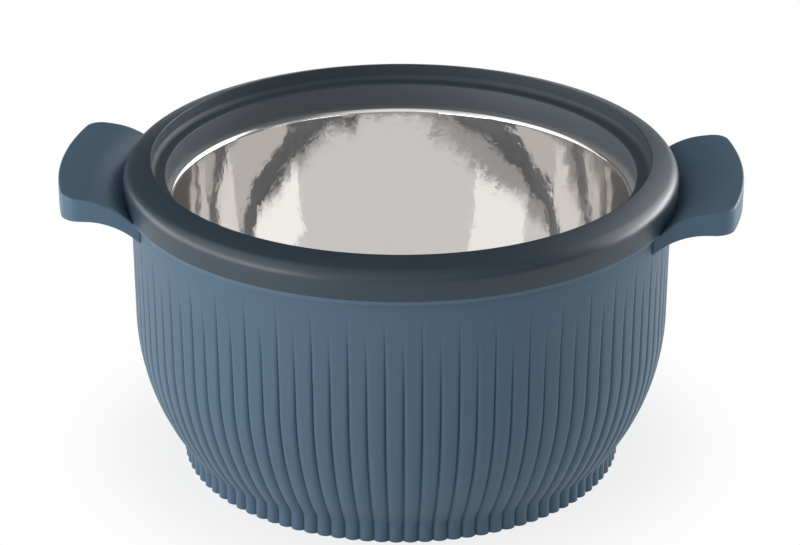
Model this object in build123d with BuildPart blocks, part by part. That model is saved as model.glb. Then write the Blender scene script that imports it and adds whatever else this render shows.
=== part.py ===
"""Insulated chapati casserole without its lid: a fluted plastic shell, a moulded ring with two lug handles, a steel
bowl in poured foam, a rim collar that holds the bowl down, and a base plate that closes the foot.

Millimetres, +Z up. The origin is the centre of the foot, on the surface that the casserole stands on, and the two lug
handles point along +X and -X. Every outline that turns about Z is drawn on Plane.XZ as (radius, height).
"""

import os
from math import asin, cos, degrees, exp, radians, sin, sqrt, tan

from build123d import *

# ---- Driving dimensions ----------------------------------------------------------------------------------------

overall_height = 139.0  # table to the collar's top edge
shell_radius = 117.7  # outside of the shell at its top; ring, collar, bowl and foot follow it
fit = 0.3  # clearance between pieces that slide together at assembly

# Rim collar
collar_overhang = 2.9  # how far the outer skirt stands out beyond the shell
collar_depth = 15.7  # top edge down to the foot of the outer skirt
collar_wall = 2.4
rim_width = 12.1  # from the outer skirt in to the top edge, which is also the wall of the lid's recess
rim_fall = 19.0  # degrees that the collar's top falls away from its top edge
shoulder = 5.8  # rounding between the collar's top and its side
seat_depth = 7.3  # top edge down to the ledge that a lid rests on
seat_width = 6.2  # from the wall of the recess in to the inner skirt
seat_fillet = 2.5
hook = 0.9  # how far the snap bead stands in from the foot of the outer skirt

# Handle ring
ring_thickness = 1.9
ring_overhang = 2.3  # how far the ring shows beyond the shell
ring_clearance = 1.5  # between the ring's bore and the collar's inner skirt
spigot_wall = 2.0
spigot_bead = 0.5  # how far the spigot's snap bead stands out

# Lug handles
lug_length = 27.9  # how far a lug stands out beyond the collar
lug_half_width = 44.8
lug_corner = 9.0
lug_edge = 0.8  # rounding of a lug's upper edge
lug_rise = 10.1  # top of the ring up to the top of a lug's tip
lug_tip = 11.2  # thickness of the tip
lug_slope = 8.0  # degrees that the outer part of a lug's top still rises
lug_top_run = 9.4  # length of that outer part
lug_under_run = 9.0  # length of the level part underneath
lug_root_depth = 8.6  # underside of the ring down to the foot of a lug's root
lug_wall = 2.6
lug_rib = 1.8
lug_rib_spacing = 21.0

# Ring screws
screw_count = 8
screw_radius = 1.3
screw_length = 12.0
screw_head_radius = 2.4
screw_head_height = 1.8
screw_gap = 0.05  # between a screw and its hole in the shell
boss_radius = 2.9
boss_sink = 0.6  # how far a boss runs into the shell's wall

# Shell
shell_wall = 3.0
side_draft = 0.6  # degrees that the upright part of the side narrows towards the belly
belly_start = 67.3  # height where the side starts to curve in
belly_steps = 7  # straight runs that the belly's curve is moulded in
foot_inset = 20.3  # how far the foot stands in from the shell's top
foot_height = 8.4
foot_blend = 2.8  # height that the bend between belly and foot takes, above and below their corner
foot_recess = 7.0  # table up to the flange that the base plate seats against
foot_flange = 9.0  # how far that flange stands in from the foot's wall
foot_flange_thickness = 2.6

# Flutes: grooves, a long and a short one by turns
flute_pairs = 48
flute_gap_long = 7.4  # top of the shell down to where a long flute runs out
flute_gap_short = 16.4
flute_depth = 1.4  # at the foot
flute_share = 0.2  # of the pitch, on the side
flute_share_foot = 0.85
flute_widening = 50.0  # height in which the widening towards the foot fades

# Steel bowl and its gasket
bowl_sheet = 0.8
bowl_inset = 3.1  # from the collar's inner skirt in to the top of the bowl's wall
bowl_bend = 3.0  # rounding between the wall and the flange
bowl_flange = 2.8  # how far the flange reaches beyond the collar's inner skirt
bowl_floor = 18.0  # height of the inside of the floor
bowl_tilt = 4.5  # degrees that the wall leans out at its top
bowl_side = 230.0  # radius of the wall's long curve
bowl_corner = 34.0  # radius between the wall and the floor
gasket_wall = 1.0
shelf_thickness = 2.3  # of the shell's ring that carries the gasket

# Base plate and foam plug
plate_thickness = 2.2
plate_hooks = 6
hook_width = 12.0
hook_wall = 1.8
hook_barb = 1.6
hook_barb_height = 1.8
plate_rib_radius = 58.0
plate_rib_width = 2.4
plate_rib_height = 0.9
plug_radius = 9.0
plug_head_radius = 13.0
plug_head_height = 1.6
plug_reach = 2.0  # how far the plug's stem passes the top of the plate

# ---- Levels and radii that follow ------------------------------------------------------------------------------

collar_radius = shell_radius + collar_overhang
rim_radius = collar_radius - rim_width
neck_radius = rim_radius - seat_width
bowl_radius = neck_radius - bowl_inset  # inside, at the top of the wall
foot_radius = shell_radius - foot_inset
lug_reach = collar_radius + lug_length

collar_z = overall_height - collar_depth
seat_z = overall_height - seat_depth
ring_z = collar_z - ring_thickness
neck_z = ring_z - gasket_wall  # foot of the inner skirt, so that the gasket meets the ring
skirt_radius = neck_radius + collar_wall  # outside of the collar's inner skirt

flange_radius = skirt_radius + bowl_flange
tilt = radians(bowl_tilt)
bend_x = bowl_radius + bowl_bend * cos(tilt)  # centre of the bend between wall and flange
bend_z = neck_z - bowl_bend
gasket_radius = flange_radius + fit + gasket_wall
shelf_z = neck_z - bowl_sheet - gasket_wall
shelf_low = shelf_z - shelf_thickness
foam_top = shelf_low - fit

ring_radius = shell_radius + ring_overhang
ring_bore = skirt_radius + ring_clearance
collar_inside = collar_radius - collar_wall
spigot_radius = collar_inside - hook - fit / 2
root_radius = shell_radius + fit  # face of a lug's root

inner_radius = shell_radius - shell_wall
boss_circle = inner_radius - boss_radius + boss_sink
boss_low = ring_z - screw_length - fit

draft = radians(side_draft)
flute_top_long = ring_z - flute_gap_long
flute_top_short = ring_z - flute_gap_short

# The belly is an arc that leaves the upright side smoothly and meets the foot at its corner
belly_edge = shell_radius - tan(draft) * (ring_z - belly_start)
belly_in = belly_edge - foot_radius
belly_fall = belly_start - foot_height
belly_radius = (belly_in**2 + belly_fall**2) / (2 * (belly_in * cos(draft) - belly_fall * sin(draft)))
belly_x = belly_edge - belly_radius * cos(draft)
belly_z = belly_start + belly_radius * sin(draft)
belly_low = foot_height + foot_blend
belly_turn = asin((belly_z - belly_low) / belly_radius)  # the arc runs from here to the side's draft
belly_turns = [-belly_turn + (belly_turn - draft) * step / belly_steps for step in range(belly_steps + 1)]
foot_bore = foot_radius - shell_wall
opening_radius = foot_bore - foot_flange
flange_top = foot_recess + foot_flange_thickness

# The bowl's side is an arc that runs smoothly from the bend at the flange into the corner at the floor
side_x = bowl_radius - bowl_side * cos(tilt)
side_z = bend_z + (bowl_bend + bowl_side) * sin(tilt)
corner_z = bowl_floor + bowl_corner
corner_x = side_x + sqrt((bowl_side - bowl_corner) ** 2 - (side_z - corner_z) ** 2)
corner_turn = degrees(asin((side_z - corner_z) / (bowl_side - bowl_corner)))

hook_radius = opening_radius - fit
barb_z = flange_top + fit
hook_top = barb_z + hook_barb_height
plate_low = foot_recess - plate_thickness


# ---- Outlines and places that more than one piece follows ------------------------------------------------------


def side_outline(inset, low, high):
    """Points of the shell's side from height low up to height high, inset from its outside."""
    radius = belly_radius - inset
    turns = [-asin((belly_z - low) / radius)]
    turns += [turn for turn in belly_turns if belly_z + radius * sin(turn) > low]
    points = [(belly_x + radius * cos(turn), belly_z + radius * sin(turn)) for turn in turns]
    return points + [(shell_radius - inset / cos(draft) - tan(draft) * (ring_z - high), high)]


def collar_top(radius):
    return overall_height - tan(radians(rim_fall)) * (radius - rim_radius)


def collar_under(radius):
    """Underside of the collar's sloping top."""
    return collar_top(radius) - collar_wall / cos(radians(rim_fall))


def bowl_outline(gap, lean):
    """The bowl from its axis up to where its wall leans so many degrees, gap outside its inner face.

    Returns its two ends."""
    floor = Line((0, bowl_floor - gap), (corner_x, bowl_floor - gap))
    CenterArc((corner_x, corner_z), bowl_corner + gap, -90, 90 - corner_turn)
    side = CenterArc((side_x, side_z), bowl_side + gap, -corner_turn, corner_turn - lean)
    return floor @ 0, side @ 1


def write(piece, name):
    piece.part.label = name
    export_step(piece.part, f"parts/{name}.step")


inner_shoulder = shoulder - collar_wall
spigot_top = collar_under(collar_inside) - inner_shoulder - fit
screw_places = PolarLocations(boss_circle, screw_count, start_angle=180 / screw_count).locations
os.makedirs("parts", exist_ok=True)


# ---- Outer shell: injection-moulded, fluted, open at the top and the foot --------------------------------------


def outer_radius(height):
    """Outside radius of the shell at a height, on the crests between the flutes."""
    if height >= belly_start:
        return shell_radius - tan(draft) * (ring_z - height)
    if height > foot_height:
        return belly_x + sqrt(belly_radius**2 - (belly_z - height) ** 2)
    return foot_radius


def fluted_section(height):
    """One level cut through the shell's outside: each flute is a V, and each crest runs to the next one."""
    crest = outer_radius(height)
    pitch = 180 / flute_pairs
    fade = exp(-((height / flute_widening) ** 2))
    half_flute = pitch / 2 * (flute_share + (flute_share_foot - flute_share) * fade)
    points = []
    for number in range(2 * flute_pairs):
        top = flute_top_short if number % 2 else flute_top_long
        depth = flute_depth * max(0.0, 1 - (height / top) ** 2)
        across = [(crest - depth, 0), (crest, half_flute), (crest, pitch - half_flute)]
        points += [Vector(radius, 0).rotate(Axis.Z, number * pitch + turn) for radius, turn in across]
    return points


levels = [0, foot_height - foot_blend]
levels += [belly_z + belly_radius * sin(turn) for turn in belly_turns]
levels += [(belly_start + flute_top_short) / 2, flute_top_short, flute_top_long, ring_z]

with BuildPart() as outer_shell:
    for level in levels:
        with BuildSketch(Plane.XY.offset(level)):
            with BuildLine():
                Polyline(*fluted_section(level), close=True)
            make_face()
    loft(ruled=True)
    with BuildSketch(Plane.XZ):
        with BuildLine():
            Polyline(
                (0, ring_z),
                (0, 0),
                (foot_bore, 0),
                (foot_bore, foot_recess),
                (opening_radius, foot_recess),
                (opening_radius, flange_top),
                *side_outline(shell_wall, flange_top, ring_z),
                close=True,
            )
        make_face()
    revolve(axis=Axis.Z, mode=Mode.SUBTRACT)
    with BuildSketch(Plane.XY.offset(shelf_low)):
        Circle(inner_radius + boss_sink)
        Circle(skirt_radius + fit, mode=Mode.SUBTRACT)
    extrude(amount=shelf_z - shelf_low)
    with BuildSketch(Plane.XY.offset(boss_low)):
        with Locations(screw_places):
            Circle(boss_radius)
    extrude(amount=ring_z - boss_low)
    with BuildSketch(Plane.XY.offset(ring_z)):
        with Locations(screw_places):
            Circle(screw_radius + screw_gap)
    extrude(amount=ring_thickness - screw_length, mode=Mode.SUBTRACT)
write(outer_shell, "outer_shell")

# ---- Handle ring: the two lugs and the ring between shell and collar, moulded in one ---------------------------

lug_tip_z = collar_z + lug_rise
lug_low_z = lug_tip_z - lug_tip
slope = Vector(cos(radians(lug_slope)), sin(radians(lug_slope)))
bend_start = Vector(lug_reach, lug_tip_z) - slope * (lug_top_run / cos(radians(lug_slope)))
under_start = (lug_reach - lug_under_run, lug_low_z)

with BuildSketch(Plane.XY) as lug_plan:
    Circle(lug_reach)
    Rectangle(2 * lug_reach, 2 * lug_half_width, mode=Mode.INTERSECT)
    fillet(lug_plan.vertices(), lug_corner)

with BuildPart() as lug_core:
    inside = slope.rotate(Axis.Z, -90) * lug_wall
    with BuildSketch(Plane.XZ):
        with BuildLine():
            top = Line(
                (lug_reach, lug_tip_z - lug_wall / slope.X),
                bend_start + inside,
            )
            bend = TangentArc(top @ 1, (root_radius + lug_wall, ring_z - lug_wall), tangent=-slope)
            Polyline(
                bend @ 1,
                (root_radius + lug_wall, ring_z - 2 * lug_root_depth),
                (lug_reach, ring_z - 2 * lug_root_depth),
                top @ 0,
            )
        make_face()
    revolve(axis=Axis.Z)
    with BuildSketch(Plane.XY.offset(ring_z - 2 * lug_root_depth)):
        offset(lug_plan.sketch, amount=-lug_wall)
        rib_count = 1 + 2 * int((lug_half_width - lug_wall) / lug_rib_spacing)
        with GridLocations(1, lug_rib_spacing, 1, rib_count):
            Rectangle(2 * lug_reach, lug_rib, mode=Mode.SUBTRACT)
    extrude(amount=overall_height, mode=Mode.INTERSECT)

with BuildPart() as handle_ring:
    with BuildSketch(Plane.XZ):
        with BuildLine():
            top = Line((lug_reach, lug_tip_z), bend_start)
            bend = TangentArc(top @ 1, (ring_radius, ring_z + fit), tangent=-slope)
            under = Line((lug_reach, lug_low_z), under_start)
            root = TangentArc(under @ 1, (root_radius, ring_z - lug_root_depth), tangent=(-1, 0))
            Polyline(bend @ 1, (root_radius, ring_z + fit), root @ 1)
            Line(under @ 0, top @ 0)
        make_face()
    revolve(axis=Axis.Z)
    with BuildSketch(Plane.XY.offset(ring_z - 2 * lug_root_depth)):
        add(lug_plan.sketch)
    extrude(amount=overall_height, mode=Mode.INTERSECT)
    upper = handle_ring.edges().filter_by(lambda e: (e @ 0.5).Z > lug_tip_z - lug_tip / 4 and (e % 0.5).Z ** 2 < 0.5)
    fillet(upper, lug_edge)
    add(lug_core.part, mode=Mode.SUBTRACT)
    with BuildSketch(Plane.XZ):
        with BuildLine():
            bead_z = collar_z + 2 * hook + fit  # just above the collar's own bead
            Polyline(
                (ring_bore, ring_z),
                (ring_radius, ring_z),
                (ring_radius, collar_z),
                (spigot_radius, collar_z),
                (spigot_radius, bead_z),
                (spigot_radius + spigot_bead, bead_z + spigot_bead),
                (spigot_radius, bead_z + 2 * spigot_bead),
                (spigot_radius, spigot_top),
                (spigot_radius - spigot_wall, spigot_top),
                (spigot_radius - spigot_wall, collar_z),
                (ring_bore, collar_z),
                close=True,
            )
        make_face()
    revolve(axis=Axis.Z)
    with BuildSketch(Plane.XY.offset(ring_z)):
        with Locations(screw_places):
            Circle(screw_radius + fit)
    extrude(amount=ring_thickness, mode=Mode.SUBTRACT)
write(handle_ring, "handle_ring")

# ---- Ring screws: pan heads on the ring, shanks in the shell's bosses ------------------------------------------

with BuildPart() as ring_screws:
    with BuildSketch(Plane.XY.offset(collar_z)):
        with Locations(screw_places):
            Circle(screw_head_radius)
    extrude(amount=screw_head_height)
    with BuildSketch(Plane.XY.offset(collar_z)):
        with Locations(screw_places):
            Circle(screw_radius)
    extrude(amount=-screw_length)
write(ring_screws, "ring_screws")

# ---- Rim collar: hides the screws, holds the bowl's flange down, and seats the lid -----------------------------

with BuildPart() as rim_collar:
    with BuildSketch(Plane.XZ) as section:
        recess_outside = rim_radius + collar_wall
        shoulder_corner = (collar_radius, collar_top(collar_radius))
        inner_corner = (collar_inside, collar_under(collar_inside))
        seat_corner = (rim_radius, seat_z)
        with BuildLine():
            Polyline(
                (collar_radius, collar_z),
                shoulder_corner,
                (rim_radius, overall_height),
                seat_corner,
                (neck_radius, seat_z),
                (neck_radius, neck_z),
                (skirt_radius, neck_z),
                (skirt_radius, seat_z - collar_wall),
                (recess_outside, seat_z - collar_wall),
                (recess_outside, collar_under(recess_outside)),
                inner_corner,
                (collar_inside, collar_z + 2 * hook),
                (collar_inside - hook, collar_z + hook),
                (collar_inside, collar_z),
                close=True,
            )
        make_face()
        fillet(section.vertices().sort_by_distance(shoulder_corner)[0], shoulder)
        fillet(section.vertices().sort_by_distance(inner_corner)[0], inner_shoulder)
        fillet(section.vertices().sort_by_distance(seat_corner)[0], seat_fillet)
    revolve(axis=Axis.Z)
write(rim_collar, "rim_collar")

# ---- Inner bowl: deep-drawn stainless steel --------------------------------------------------------------------

with BuildPart() as inner_bowl:
    with BuildSketch(Plane.XZ):
        with BuildLine():
            inner_floor, inner_wall = bowl_outline(0, bowl_tilt)
            outer_floor, outer_wall = bowl_outline(bowl_sheet, bowl_tilt)
            upper_bend = CenterArc((bend_x, bend_z), bowl_bend, 90, 90 - bowl_tilt)
            lower_bend = CenterArc((bend_x, bend_z), bowl_bend - bowl_sheet, 90, 90 - bowl_tilt)
            Polyline(
                upper_bend @ 0,
                (flange_radius, neck_z),
                (flange_radius, neck_z - bowl_sheet),
                lower_bend @ 0,
            )
            Line(inner_floor, outer_floor)
        make_face()
    revolve(axis=Axis.Z)
write(inner_bowl, "inner_bowl")

# ---- Bowl gasket: a silicone channel round the edge of the bowl's flange ---------------------------------------

with BuildPart() as bowl_gasket:
    with BuildSketch(Plane.XZ):
        with BuildLine():
            Polyline(
                (skirt_radius + fit, shelf_z),
                (gasket_radius, shelf_z),
                (gasket_radius, ring_z),
                (skirt_radius + fit, ring_z),
                (skirt_radius + fit, neck_z),
                (flange_radius + fit, neck_z),
                (flange_radius + fit, neck_z - bowl_sheet),
                (skirt_radius + fit, neck_z - bowl_sheet),
                close=True,
            )
        make_face()
    revolve(axis=Axis.Z)
write(bowl_gasket, "bowl_gasket")

# ---- Insulation foam: poured between bowl and shell, down to the base plate ------------------------------------

with BuildPart() as insulation_foam:
    foam_foot = hook_radius - hook_wall - fit
    foam_gap = bowl_sheet + fit
    foam_lean = degrees(asin((side_z - foam_top) / (bowl_side + foam_gap)))
    with BuildSketch(Plane.XZ):
        with BuildLine():
            foam_floor, foam_bowl = bowl_outline(foam_gap, foam_lean)
            Polyline(
                foam_floor,
                (0, foot_recess),
                (foam_foot, foot_recess),
                (foam_foot, hook_top + fit),
                *side_outline(shell_wall + fit, hook_top + fit, foam_top),
                foam_bowl,
            )
        make_face()
    revolve(axis=Axis.Z)
    with BuildSketch(Plane.XY.offset(foam_top)):
        with Locations(screw_places):
            Circle(boss_radius + fit)
    extrude(amount=boss_low - fit - foam_top, mode=Mode.SUBTRACT)
    with BuildSketch(Plane.XY.offset(foot_recess)):
        Circle(plug_radius + fit)
    extrude(amount=plug_reach + fit, mode=Mode.SUBTRACT)
write(insulation_foam, "insulation_foam")

# ---- Base plate: closes the foot, held by hooks that snap over the shell's flange ------------------------------

with BuildPart() as base_plate:
    with BuildSketch(Plane.XY.offset(plate_low)):
        Circle(foot_bore - fit)
        Circle(plug_radius + fit, mode=Mode.SUBTRACT)
    extrude(amount=plate_thickness)
    with BuildSketch(Plane.XY.offset(plate_low)):
        Circle(plate_rib_radius + plate_rib_width / 2)
        Circle(plate_rib_radius - plate_rib_width / 2, mode=Mode.SUBTRACT)
    extrude(amount=-plate_rib_height)
    with BuildSketch(Plane.XZ):
        with BuildLine():
            Polyline(
                (hook_radius - hook_wall, foot_recess),
                (hook_radius, foot_recess),
                (hook_radius, barb_z),
                (hook_radius + hook_barb, barb_z),
                (hook_radius, hook_top),
                (hook_radius - hook_wall, hook_top),
                close=True,
            )
        make_face()
    hook_turn = degrees(hook_width / hook_radius)
    hook_ring = revolve(axis=Axis.Z, revolution_arc=hook_turn, mode=Mode.PRIVATE)
    with PolarLocations(0, plate_hooks):
        add(hook_ring)
write(base_plate, "base_plate")

# ---- Foam plug: closes the hole that the foam is poured through ------------------------------------------------

with BuildPart() as foam_plug:
    with BuildSketch(Plane.XY.offset(plate_low)):
        Circle(plug_head_radius)
    extrude(amount=-plug_head_height)
    with BuildSketch(Plane.XY.offset(plate_low)):
        Circle(plug_radius)
    extrude(amount=plate_thickness + plug_reach)
write(foam_plug, "foam_plug")
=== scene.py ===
"""Insulated chapati casserole without its lid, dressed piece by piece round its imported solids. Metres, +Z up."""

from math import atan2, cos, degrees, exp, hypot, pi, radians, sin, sqrt, tan

import bmesh
import bpy
from mathutils import Matrix, Vector


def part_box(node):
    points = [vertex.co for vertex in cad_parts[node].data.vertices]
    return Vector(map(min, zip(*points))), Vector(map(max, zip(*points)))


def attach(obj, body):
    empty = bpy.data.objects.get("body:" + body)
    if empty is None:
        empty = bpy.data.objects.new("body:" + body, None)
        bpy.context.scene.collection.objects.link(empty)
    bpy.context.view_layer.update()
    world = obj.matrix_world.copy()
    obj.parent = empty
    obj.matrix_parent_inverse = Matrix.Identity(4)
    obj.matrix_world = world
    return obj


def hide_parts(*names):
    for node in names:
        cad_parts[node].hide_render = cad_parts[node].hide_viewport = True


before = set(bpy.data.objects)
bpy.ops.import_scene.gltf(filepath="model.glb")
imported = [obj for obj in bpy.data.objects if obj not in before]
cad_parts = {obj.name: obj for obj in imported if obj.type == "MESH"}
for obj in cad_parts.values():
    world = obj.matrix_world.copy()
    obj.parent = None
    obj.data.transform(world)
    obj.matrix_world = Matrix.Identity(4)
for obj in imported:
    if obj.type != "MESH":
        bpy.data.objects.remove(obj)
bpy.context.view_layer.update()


# ---- Camera ----------------------------------------------------------------------------------------------------
# A long lens from a little above, turned a few degrees past the front so that the right lug comes nearer.

camera_turn = radians(3.2)
camera_rise = radians(24.4)
camera_distance = 1.3839
camera_target = Vector((0, 0, 0.0817))

lens = bpy.data.cameras.new("camera")
lens.sensor_width = 36
lens.lens = 140.97
lens.shift_x = -0.0015
lens.clip_end = 20
camera = bpy.data.objects.new("camera", lens)
bpy.context.scene.collection.objects.link(camera)
bpy.context.scene.camera = camera
bpy.context.scene.view_settings.view_transform = "Standard"
camera_back = Vector(
    (sin(camera_turn) * cos(camera_rise), -cos(camera_turn) * cos(camera_rise), sin(camera_rise))
)
camera.location = camera_target + camera_back * camera_distance
camera.rotation_mode = "QUATERNION"
camera.rotation_quaternion = (-camera_back).to_track_quat("-Z", "Y")


# ---- Studio ----------------------------------------------------------------------------------------------------
# Three low soft boxes light the plastic from the left, the front and the right, and two slim ones show as bright
# bands in the steel. A first reflection sees soft bright patches in a dark room, and later ones a white room that is
# darker overhead and low down. The paper floor keeps a faint shadow and runs out to plain white.


class Value:
    """A number socket of a shader, on which arithmetic adds Math nodes."""

    def __init__(self, shader, socket):
        self.shader = shader
        self.socket = socket

    def math(self, operation, *others):
        values = dict(enumerate([self, *others]))
        return self.shader.node("ShaderNodeMath", {"operation": operation}, values)[0]

    def rise(self, low, high):
        """How far the value is from low to high, smoothly, as 0 to 1."""
        sockets = {"Value": self, 1: low, 2: high}
        return self.shader.node("ShaderNodeMapRange", {"interpolation_type": "SMOOTHSTEP"}, sockets)[0]

    def __add__(self, other):
        return self.math("ADD", other)

    def __mul__(self, other):
        return self.math("MULTIPLY", other)

    def __sub__(self, other):
        return self.math("SUBTRACT", other)

    def __rsub__(self, other):
        return self * -1 + other

    __radd__ = __add__
    __rmul__ = __mul__


class Shader:
    """The node tree of a material or of the world."""

    def __init__(self, holder):
        holder.use_nodes = True
        self.holder = holder
        self.nodes = holder.node_tree.nodes
        self.links = holder.node_tree.links
        self.nodes.clear()

    def node(self, kind, settings=None, sockets=None):
        """Adds a node and returns its outputs by name and by number."""
        node = self.nodes.new(kind)
        for name, setting in (settings or {}).items():
            setattr(node, name, setting)
        for name, value in (sockets or {}).items():
            if isinstance(value, Value):
                self.links.new(value.socket, node.inputs[name])
            elif isinstance(value, tuple) and node.inputs[name].type == "RGBA":
                node.inputs[name].default_value = (*value, 1)
            else:
                node.inputs[name].default_value = value
        outputs = {output.name: Value(self, output) for output in node.outputs}
        outputs.update(enumerate(Value(self, output) for output in node.outputs))
        return outputs


lamp_aim = Vector((0, 0, 0.08))
lamp_distance = 1.5
low_box_height = 0.42


def direction(turn, rise):
    """A direction, turned so many degrees from the front towards the right and raised by so many."""
    turn = radians(turn)
    rise = radians(rise)
    return Vector((cos(rise) * sin(turn), -cos(rise) * cos(turn), sin(rise)))


def soft_box(name, turn, rise, width, height, power):
    """An area lamp that shines on the pot, at a turn and rise in degrees."""
    lamp = bpy.data.lights.new(name, "AREA")
    lamp.shape = "RECTANGLE"
    lamp.size = width
    lamp.size_y = height
    lamp.energy = power
    box = bpy.data.objects.new(name, lamp)
    bpy.context.scene.collection.objects.link(box)
    out = direction(turn, rise)
    box.location = lamp_aim + out * lamp_distance
    box.rotation_mode = "QUATERNION"
    box.rotation_quaternion = (-out).to_track_quat("-Z", "Y")


soft_box("left_box", -86, 7, width=2.3, height=low_box_height, power=15)
soft_box("front_box", -45, 7, width=0.8, height=low_box_height, power=5.6)
soft_box("right_box", 120, 7, width=1.2, height=low_box_height, power=13)
soft_box("left_strip", -35, 28, width=1.5, height=0.33, power=0.92)
soft_box("right_strip", 73, 31, width=1.65, height=0.36, power=0.88)

world = bpy.data.worlds.new("studio")
bpy.context.scene.world = world
studio = Shader(world)
ray = studio.node("ShaderNodeLightPath")
heading = studio.node("ShaderNodeTexCoord")["Generated"]
upwards = studio.node("ShaderNodeSeparateXYZ", sockets={0: heading})["Z"]
ceiling = 1 - upwards.rise(0.5, 0.85) * 0.75


def along(vector):
    """How far the heading runs along a vector."""
    return studio.node("ShaderNodeVectorMath", {"operation": "DOT_PRODUCT"}, {0: heading, 1: vector})["Value"]


def glow(turn, rise, width):
    """A patch of the room that is bright in the middle and fades in so many degrees, as 0 to 1."""
    return along(direction(turn, rise)).rise(cos(radians(width)), 1)


dado_tilt = (-0.03, 0.05, 1)
dado = along(dado_tilt).rise(0.325, 0.365) * 0.55 + 0.45
dark_room = 0.12
right_patch = glow(129, 20, 37) * 4
left_patch = glow(-82, 38, 38) * 1.6
front_patch = glow(0, 38, 50) * 0.85
top_patch = glow(0, 90, 26) * 0.5
gleam = right_patch + left_patch + front_patch + top_patch + dark_room
ambience = upwards.rise(0.45, 0.55) * 0.18 + 0.37
mirrored = ray["Is Glossy Ray"].math("MAXIMUM", ray["Is Transmission Ray"])
seen = ray["Is Camera Ray"]
again = ray["Ray Depth"].rise(2.2, 2.8)  # 1 from the second reflection on
glossy = again * ceiling * dado + (1 - again) * gleam
strength = seen + (1 - seen) * (mirrored * glossy + (1 - mirrored) * ambience)
backdrop = studio.node("ShaderNodeBackground", sockets={"Color": (1, 1, 1), "Strength": strength})
studio.node("ShaderNodeOutputWorld", sockets={"Surface": backdrop[0]})

floor_bm = bmesh.new()
bmesh.ops.create_circle(floor_bm, cap_ends=True, segments=96, radius=6)
floor_mesh = bpy.data.meshes.new("floor")
floor_bm.to_mesh(floor_mesh)
floor_bm.free()
floor = bpy.data.objects.new("floor", floor_mesh)
bpy.context.scene.collection.objects.link(floor)
paper = Shader(bpy.data.materials.new("floor_paper"))
spot = paper.node("ShaderNodeTexCoord")["Object"]
reach = paper.node("ShaderNodeVectorMath", {"operation": "LENGTH"}, {0: spot})["Value"]
floor_ray = paper.node("ShaderNodeLightPath")
floor_seen = floor_ray["Is Camera Ray"] + floor_ray["Is Glossy Ray"] + floor_ray["Is Transmission Ray"]
away = (reach.rise(0.1, 0.17) * 0.22 + 0.78) * floor_seen  # how much of the floor is plain white
matte = paper.node("ShaderNodeBsdfDiffuse", sockets={"Color": (0.9, 0.9, 0.9)})
white = paper.node("ShaderNodeEmission", sockets={"Color": (1, 1, 1), "Strength": 1.0})
mixed = paper.node("ShaderNodeMixShader", sockets={0: away, 1: matte[0], 2: white[0]})
paper.node("ShaderNodeOutputMaterial", sockets={"Surface": mixed[0]})
floor_mesh.materials.append(paper.holder)


# ---- Outer shell -----------------------------------------------------------------------------------------------
# The fluted body, injection-moulded in blue polypropylene with a fine matte grain from the mould. The flutes are
# V grooves, a long and a short one by turns, that widen downwards until only rounded lobes are left at the foot.

MM = 0.001
sharp_edge = radians(35)  # edges that turn further than this stay sharp


class Outline:
    """A line drawn in the XZ plane as radius and height, in millimetres, then turned round Z into a skin."""

    def __init__(self, radius, height):
        self.bm = bmesh.new()
        self.start = self.last = self.bm.verts.new((radius * MM, 0, height * MM))
        self.corners = []

    def to(self, radius, height, rounding=0.0, steps=1):
        """A straight run in some steps to a point, whose corner is rounded later by a tangent length."""
        start = self.last.co.copy()
        end = Vector((radius * MM, 0, height * MM))
        for step in range(1, steps + 1):
            self.last = bmesh.ops.extrude_vert_indiv(self.bm, verts=[self.last])["verts"][0]
            self.last.co = start.lerp(end, step / steps)
        if rounding:
            self.corners.append((self.last, rounding * MM))
        return self

    def arc(self, centre, turn, steps):
        """An arc round a centre, through so many degrees, counted from +X towards +Z."""
        middle = Vector((centre[0] * MM, 0, centre[1] * MM))
        made = bmesh.ops.spin(
            self.bm, geom=[self.last], cent=middle, axis=(0, 1, 0), angle=-radians(turn), steps=steps
        )
        self.last = made["geom_last"][0]
        return self

    def turned(self, steps, closed=True, share=1):
        """Turns the line round Z, all the way or a share of it. Its corners are rounded first, and a hollow ring's
        ends are joined."""
        if closed:
            self.bm.edges.new((self.last, self.start))
        for corner, tangent in self.corners:
            bmesh.ops.bevel(
                self.bm, geom=[corner], offset=tangent, affect="VERTICES", segments=6, profile=0.5, material=-1
            )
        bmesh.ops.spin(
            self.bm,
            geom=self.bm.verts[:] + self.bm.edges[:],
            cent=(0, 0, 0),
            axis=(0, 0, 1),
            angle=2 * pi * share,
            steps=steps,
            use_merge=share == 1,
        )
        return self

    def repeated(self, count):
        """Repeats a share of the skin round Z."""
        geometry = self.bm.verts[:] + self.bm.edges[:] + self.bm.faces[:]
        bmesh.ops.spin(
            self.bm,
            geom=geometry,
            cent=(0, 0, 0),
            axis=(0, 0, 1),
            angle=2 * pi * (count - 1) / count,
            steps=count - 1,
            use_duplicate=True,
        )
        return self

    def mesh(self, name):
        """The finished mesh, closed up and smooth but for its sharp edges."""
        bmesh.ops.remove_doubles(self.bm, verts=self.bm.verts[:], dist=1e-6)
        bmesh.ops.recalc_face_normals(self.bm, faces=self.bm.faces[:])
        for face in self.bm.faces:
            face.smooth = True
        for edge in self.bm.edges:
            if edge.calc_face_angle(0) > sharp_edge:
                edge.smooth = False
        mesh = bpy.data.meshes.new(name)
        self.bm.to_mesh(mesh)
        self.bm.free()
        return mesh


def place(name, mesh, finish, node):
    """A piece made of the mesh that rides on the pot and stands for a solid."""
    piece = bpy.data.objects.new(name, mesh)
    bpy.context.scene.collection.objects.link(piece)
    mesh.materials.append(finish)
    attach(piece, "root")
    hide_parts(node)
    return piece


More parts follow.
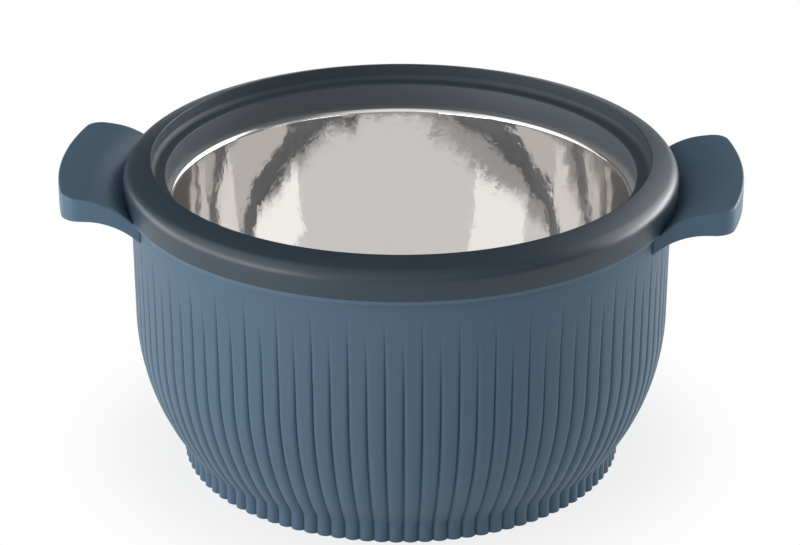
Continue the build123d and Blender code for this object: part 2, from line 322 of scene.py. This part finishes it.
def moulded(name, colour, roughness, specular, grain):
    """Moulded plastic: a fine grain in the gloss and the surface, and a colour that drifts a little."""
    finish = Shader(bpy.data.materials.new(name))
    where = finish.node("ShaderNodeTexCoord")["Object"]
    fine = finish.node("ShaderNodeTexNoise", sockets={"Vector": where, "Scale": 2200, "Detail": 3})[0]
    broad = finish.node("ShaderNodeTexNoise", sockets={"Vector": where, "Scale": 14, "Detail": 2})[0]
    dark = tuple(0.94 * channel for channel in colour)
    light = tuple(1.06 * channel for channel in colour)
    mixing = {"Factor": fine * 0.6 + broad * 0.4, 6: dark, 7: light}  # 6 and 7 are the node's two colours
    tint = finish.node("ShaderNodeMix", {"data_type": "RGBA"}, mixing)[2]
    relief = finish.node("ShaderNodeBump", sockets={"Strength": grain, "Distance": 0.00005, "Height": fine})[0]
    skin = finish.node(
        "ShaderNodeBsdfPrincipled",
        sockets={
            "Base Color": tint,
            "Roughness": fine * 0.12 + (roughness - 0.06),
            "Specular IOR Level": specular,
            "Normal": relief,
        },
    )
    finish.node("ShaderNodeOutputMaterial", sockets={"Surface": skin[0]})
    return finish.holder


blue_plastic = moulded("blue_plastic", (0.069, 0.125, 0.182), 0.50, 0.3, 0.25)

shell_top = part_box("outer_shell")[1].z / MM
shell_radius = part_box("outer_shell")[1].x / MM
shell_wall = 3.0
side_draft = radians(0.6)
belly_start = 67.3
foot_radius = shell_radius - 20.3
foot_height = 8.4
foot_blend = 3.2  # tangent length of the bend between foot and belly
foot_recess = 7.0
foot_flange = 9.0
foot_flange_top = 9.6

belly_edge = shell_radius - tan(side_draft) * (shell_top - belly_start)
belly_in = belly_edge - foot_radius
belly_fall = belly_start - foot_height
belly_radius = (belly_in**2 + belly_fall**2) / (2 * (belly_in * cos(side_draft) - belly_fall * sin(side_draft)))
belly_x = belly_edge - belly_radius * cos(side_draft)
belly_z = belly_start + belly_radius * sin(side_draft)


def belly_reach(height, inset=0.0):
    """Radius of the belly's arc at a height."""
    return belly_x + sqrt((belly_radius - inset) ** 2 - (belly_z - height) ** 2)


def belly_turn(height, inset=0.0):
    """Degrees along the belly's arc from a height up to the start of the upright side."""
    return degrees(atan2(belly_z - height, belly_reach(height, inset) - belly_x) - side_draft)


def crest(height):
    """Radius of the shell between the flutes."""
    if height >= belly_start:
        return shell_radius - tan(side_draft) * (shell_top - height)
    return belly_reach(height) if height > foot_height else foot_radius


body = Outline(foot_radius, 0)
body.to(foot_radius, foot_height, rounding=foot_blend, steps=4)
body.arc((belly_x, belly_z), belly_turn(foot_height), 28)
body.to(shell_radius, shell_top, steps=14)
body.to(shell_radius - shell_wall, shell_top)
body.to(belly_edge - shell_wall, belly_start)
body.arc((belly_x, belly_z), -belly_turn(foot_flange_top, shell_wall), 10)
body.to(foot_radius - shell_wall - foot_flange, foot_flange_top)
body.to(foot_radius - shell_wall - foot_flange, foot_recess)
body.to(foot_radius - shell_wall, foot_recess)
body.to(foot_radius - shell_wall, 0)

flute_pairs = 48
flute_columns = 12  # of faces from one flute to the next
flute_top_long = shell_top - 7.4
flute_top_short = shell_top - 16.4
flute_depth = 1.6
flute_share = 0.3  # of the pitch, on the side
flute_share_foot = 1.0
flute_widening = 50.0  # height in which the widening towards the foot fades
flute_fade = 3  # power by which a flute gets shallower upwards
flute_cusp = 2.4  # power that draws a flute's flanks in to a crease
column_crowding = 2.2  # power that closes the columns up towards the crease
flute_pitch = pi / flute_pairs

# One long and one short flute are pressed into a wedge of the body, which is then repeated
body.turned(2 * flute_columns, share=1 / flute_pairs)
bmesh.ops.rotate(body.bm, verts=body.bm.verts[:], cent=(0, 0, 0), matrix=Matrix.Rotation(-flute_pitch / 2, 3, "Z"))
floor_lines = set()
for vert in body.bm.verts:
    radius = hypot(vert.co.x, vert.co.y) / MM
    height = vert.co.z / MM
    if height > flute_top_long or radius < crest(height) - shell_wall / 2:
        continue
    turn = atan2(vert.co.y, vert.co.x) / flute_pitch
    number = round(turn)
    across = 2 * abs(turn - number)
    across **= column_crowding
    share = flute_share + (flute_share_foot - flute_share) * exp(-((height / flute_widening) ** 2))
    top = flute_top_short if number % 2 else flute_top_long
    deep = flute_depth * max(0.0, 1 - (height / top) ** flute_fade)
    radius -= deep * max(0.0, 1 - across / share) ** flute_cusp
    angle = (number + (across / 2 if turn > number else -across / 2)) * flute_pitch
    vert.co.x = radius * MM * cos(angle)
    vert.co.y = radius * MM * sin(angle)
    if deep and across < 1e-3:
        floor_lines.add(vert)
for edge in body.bm.edges:
    if floor_lines.issuperset(edge.verts):
        edge.smooth = False
body.repeated(flute_pairs)
place("shell_body", body.mesh("shell_body"), blue_plastic, "outer_shell")


# ---- Handle ring -----------------------------------------------------------------------------------------------
# One blue moulding: the ring that shows as a thin line under the collar, and the two lugs that stand out of it. Its
# blue is the body's plastic painted a little lighter. This painted light brings out the ring line and lightens the
# lug tops.


def finish_solid(name, finish):
    """Gives a solid its finish and soft shading. Its loose triangles are joined, and sharp edges stay sharp."""
    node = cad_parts[name]
    node.data.materials.clear()
    node.data.materials.append(finish)
    for face in node.data.polygons:
        face.use_smooth = True
    node.modifiers.new("weld", "WELD").merge_threshold = 1e-6
    node.modifiers.new("split", "EDGE_SPLIT").split_angle = sharp_edge


# The body's blue made lighter: painted light on the ring and the lugs, not a different plastic.
ring_blue_painted_lighter = moulded("ring_blue_painted_lighter", (0.077, 0.139, 0.205), 0.45, 0.35, 0.25)
finish_solid("handle_ring", ring_blue_painted_lighter)


# ---- Rim collar ------------------------------------------------------------------------------------------------
# A dark slate moulding that snaps over the ring: a sloping top with a round shoulder, and a stepped inside whose
# ledge seats the lid. Satin on the outside, with a coarser grain on the recess. The recess and ledge are painted a
# lighter slate, and the skirt below the ledge a paler one still. This is painted light for the light that these
# inner walls catch and throw into the steel.

slate_plastic = moulded("slate_plastic", (0.021, 0.037, 0.054), 0.38, 0.5, 0.3)
# Recess and ledge: the slate painted lighter, as painted light on these inner walls, with a coarser grain of its
# own.
slate_grained_painted_light = moulded("slate_grained_painted_light", (0.042, 0.058, 0.073), 0.55, 0.4, 0.6)
# Skirt: the slate painted much paler, as painted light that brightens the skirt and its reflection in the steel.
slate_skirt_painted_light = moulded("slate_skirt_painted_light", (0.080, 0.100, 0.120), 0.45, 0.9, 0.6)

collar_foot, collar_top = (corner.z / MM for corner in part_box("rim_collar"))
collar_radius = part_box("rim_collar")[1].x / MM
collar_depth = 15.7
collar_wall = 2.4
rim_radius = collar_radius - 12.1
rim_fall = radians(19)
seat = collar_top - 7.3
neck_radius = rim_radius - 6.2
shoulder_radius = 5.8
shoulder_bend = tan((pi / 2 - rim_fall) / 2)  # tangent length of the rounding, for each unit of its radius
shoulder = shoulder_radius * shoulder_bend
inner_shoulder = (shoulder_radius - collar_wall) * shoulder_bend
rim_edge = 0.45
seat_fillet = 2.5
neck_edge = 0.5


def collar_slope(radius):
    """Height of the collar's sloping top at a radius."""
    return collar_top - tan(rim_fall) * (radius - rim_radius)


under = collar_wall / cos(rim_fall)
collar = Outline(collar_radius, collar_top - collar_depth)
collar.to(collar_radius, collar_slope(collar_radius), rounding=shoulder)
collar.to(rim_radius, collar_top, rounding=rim_edge)
collar.to(rim_radius, seat, rounding=seat_fillet)
collar.to(neck_radius, seat, rounding=neck_edge)
collar.to(neck_radius, collar_foot)
collar.to(neck_radius + collar_wall, collar_foot)
collar.to(neck_radius + collar_wall, seat - collar_wall)
collar.to(rim_radius + collar_wall, seat - collar_wall)
collar.to(rim_radius + collar_wall, collar_slope(rim_radius + collar_wall) - under)
inside_radius = collar_radius - collar_wall
collar.to(inside_radius, collar_slope(inside_radius) - under, rounding=inner_shoulder)
collar.to(inside_radius, collar_top - collar_depth)
collar.turned(256)
# The faces inside the collar take the finishes painted lighter: 1 on the recess and ledge, 2 on the skirt below.
for face in collar.bm.faces:
    middle = face.calc_center_median() / MM
    if hypot(middle.x, middle.y) < rim_radius and middle.z < collar_top - 0.5:
        face.material_index = 1 if middle.z > seat - 0.5 else 2
rim = place("rim_moulding", collar.mesh("rim_moulding"), slate_plastic, "rim_collar")
rim.data.materials.append(slate_grained_painted_light)
rim.data.materials.append(slate_skirt_painted_light)


# ---- Inner bowl ------------------------------------------------------------------------------------------------
# Deep-drawn from one stainless sheet and polished inside to a mirror, with the faint waves that drawing leaves.

bowl_sheet = 0.8
bowl_radius = neck_radius - 3.1
bowl_bend = 2.0
bowl_floor = 18.0
bowl_tilt = radians(4.5)
bowl_side = 230.0
bowl_corner = 34.0
flange_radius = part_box("inner_bowl")[1].x / MM
flange_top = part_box("inner_bowl")[1].z / MM

bend_x = bowl_radius + bowl_bend * cos(bowl_tilt)
bend_z = flange_top - bowl_bend
side_x = bowl_radius - bowl_side * cos(bowl_tilt)
side_z = bend_z + (bowl_bend + bowl_side) * sin(bowl_tilt)
corner_z = bowl_floor + bowl_corner
corner_x = side_x + sqrt((bowl_side - bowl_corner) ** 2 - (side_z - corner_z) ** 2)
corner_turn = degrees(atan2(side_z - corner_z, corner_x - side_x))
side_turn = corner_turn - degrees(bowl_tilt)
bend_turn = 90 - degrees(bowl_tilt)

bowl = Outline(0, bowl_floor)
bowl.to(corner_x, bowl_floor, steps=6)
bowl.arc((corner_x, corner_z), 90 - corner_turn, 32)
bowl.arc((side_x, side_z), side_turn, 32)
bowl.arc((bend_x, bend_z), -bend_turn, 14)
bowl.to(flange_radius, flange_top)
bowl.to(flange_radius, flange_top - bowl_sheet)
bowl.to(bend_x, flange_top - bowl_sheet)
bowl.arc((bend_x, bend_z), bend_turn, 6)
bowl.arc((side_x, side_z), -side_turn, 10)
bowl.arc((corner_x, corner_z), corner_turn - 90, 10)
bowl.to(0, bowl_floor - bowl_sheet)
bowl.turned(256, closed=False)

mirror_steel = Shader(bpy.data.materials.new("mirror_steel"))
where = mirror_steel.node("ShaderNodeTexCoord")["Object"]
waves = mirror_steel.node("ShaderNodeTexNoise", sockets={"Vector": where, "Scale": 24, "Detail": 5})[0]
haze = mirror_steel.node("ShaderNodeTexNoise", sockets={"Vector": where, "Scale": 900, "Detail": 4})[0]
relief = mirror_steel.node("ShaderNodeBump", sockets={"Strength": 0.7, "Distance": 0.0008, "Height": waves})[0]
polish = mirror_steel.node(
    "ShaderNodeBsdfPrincipled",
    sockets={
        "Base Color": (0.812, 0.793, 0.778),
        "Metallic": 0.88,
        "Roughness": haze * 0.05 + 0.025,
        "Normal": relief,
    },
)
mirror_steel.node("ShaderNodeOutputMaterial", sockets={"Surface": polish[0]})
place("steel_bowl", bowl.mesh("steel_bowl"), mirror_steel.holder, "inner_bowl")


# ---- Hidden pieces ---------------------------------------------------------------------------------------------
# The foam, the gasket and the screws are shut in; the base plate and its plug show only from below.


def plain(name, colour, roughness, metallic=0.0):
    """A hidden piece's finish: one colour with a slightly uneven gloss and surface."""
    finish = Shader(bpy.data.materials.new(name))
    where = finish.node("ShaderNodeTexCoord")["Object"]
    speckle = finish.node("ShaderNodeTexNoise", sockets={"Vector": where, "Scale": 400, "Detail": 3})[0]
    relief = finish.node("ShaderNodeBump", sockets={"Strength": 0.3, "Distance": 0.0002, "Height": speckle})[0]
    skin = finish.node(
        "ShaderNodeBsdfPrincipled",
        sockets={
            "Base Color": colour,
            "Metallic": metallic,
            "Roughness": speckle * 0.1 + roughness,
            "Normal": relief,
        },
    )
    finish.node("ShaderNodeOutputMaterial", sockets={"Surface": skin[0]})
    return finish.holder


finish_solid("insulation_foam", plain("foam_cream", (0.78, 0.68, 0.45), 0.85))
finish_solid("bowl_gasket", plain("silicone", (0.70, 0.70, 0.68), 0.45))
finish_solid("ring_screws", plain("zinc", (0.62, 0.63, 0.65), 0.25, metallic=1.0))
finish_solid("base_plate", blue_plastic)
finish_solid("foam_plug", blue_plastic)
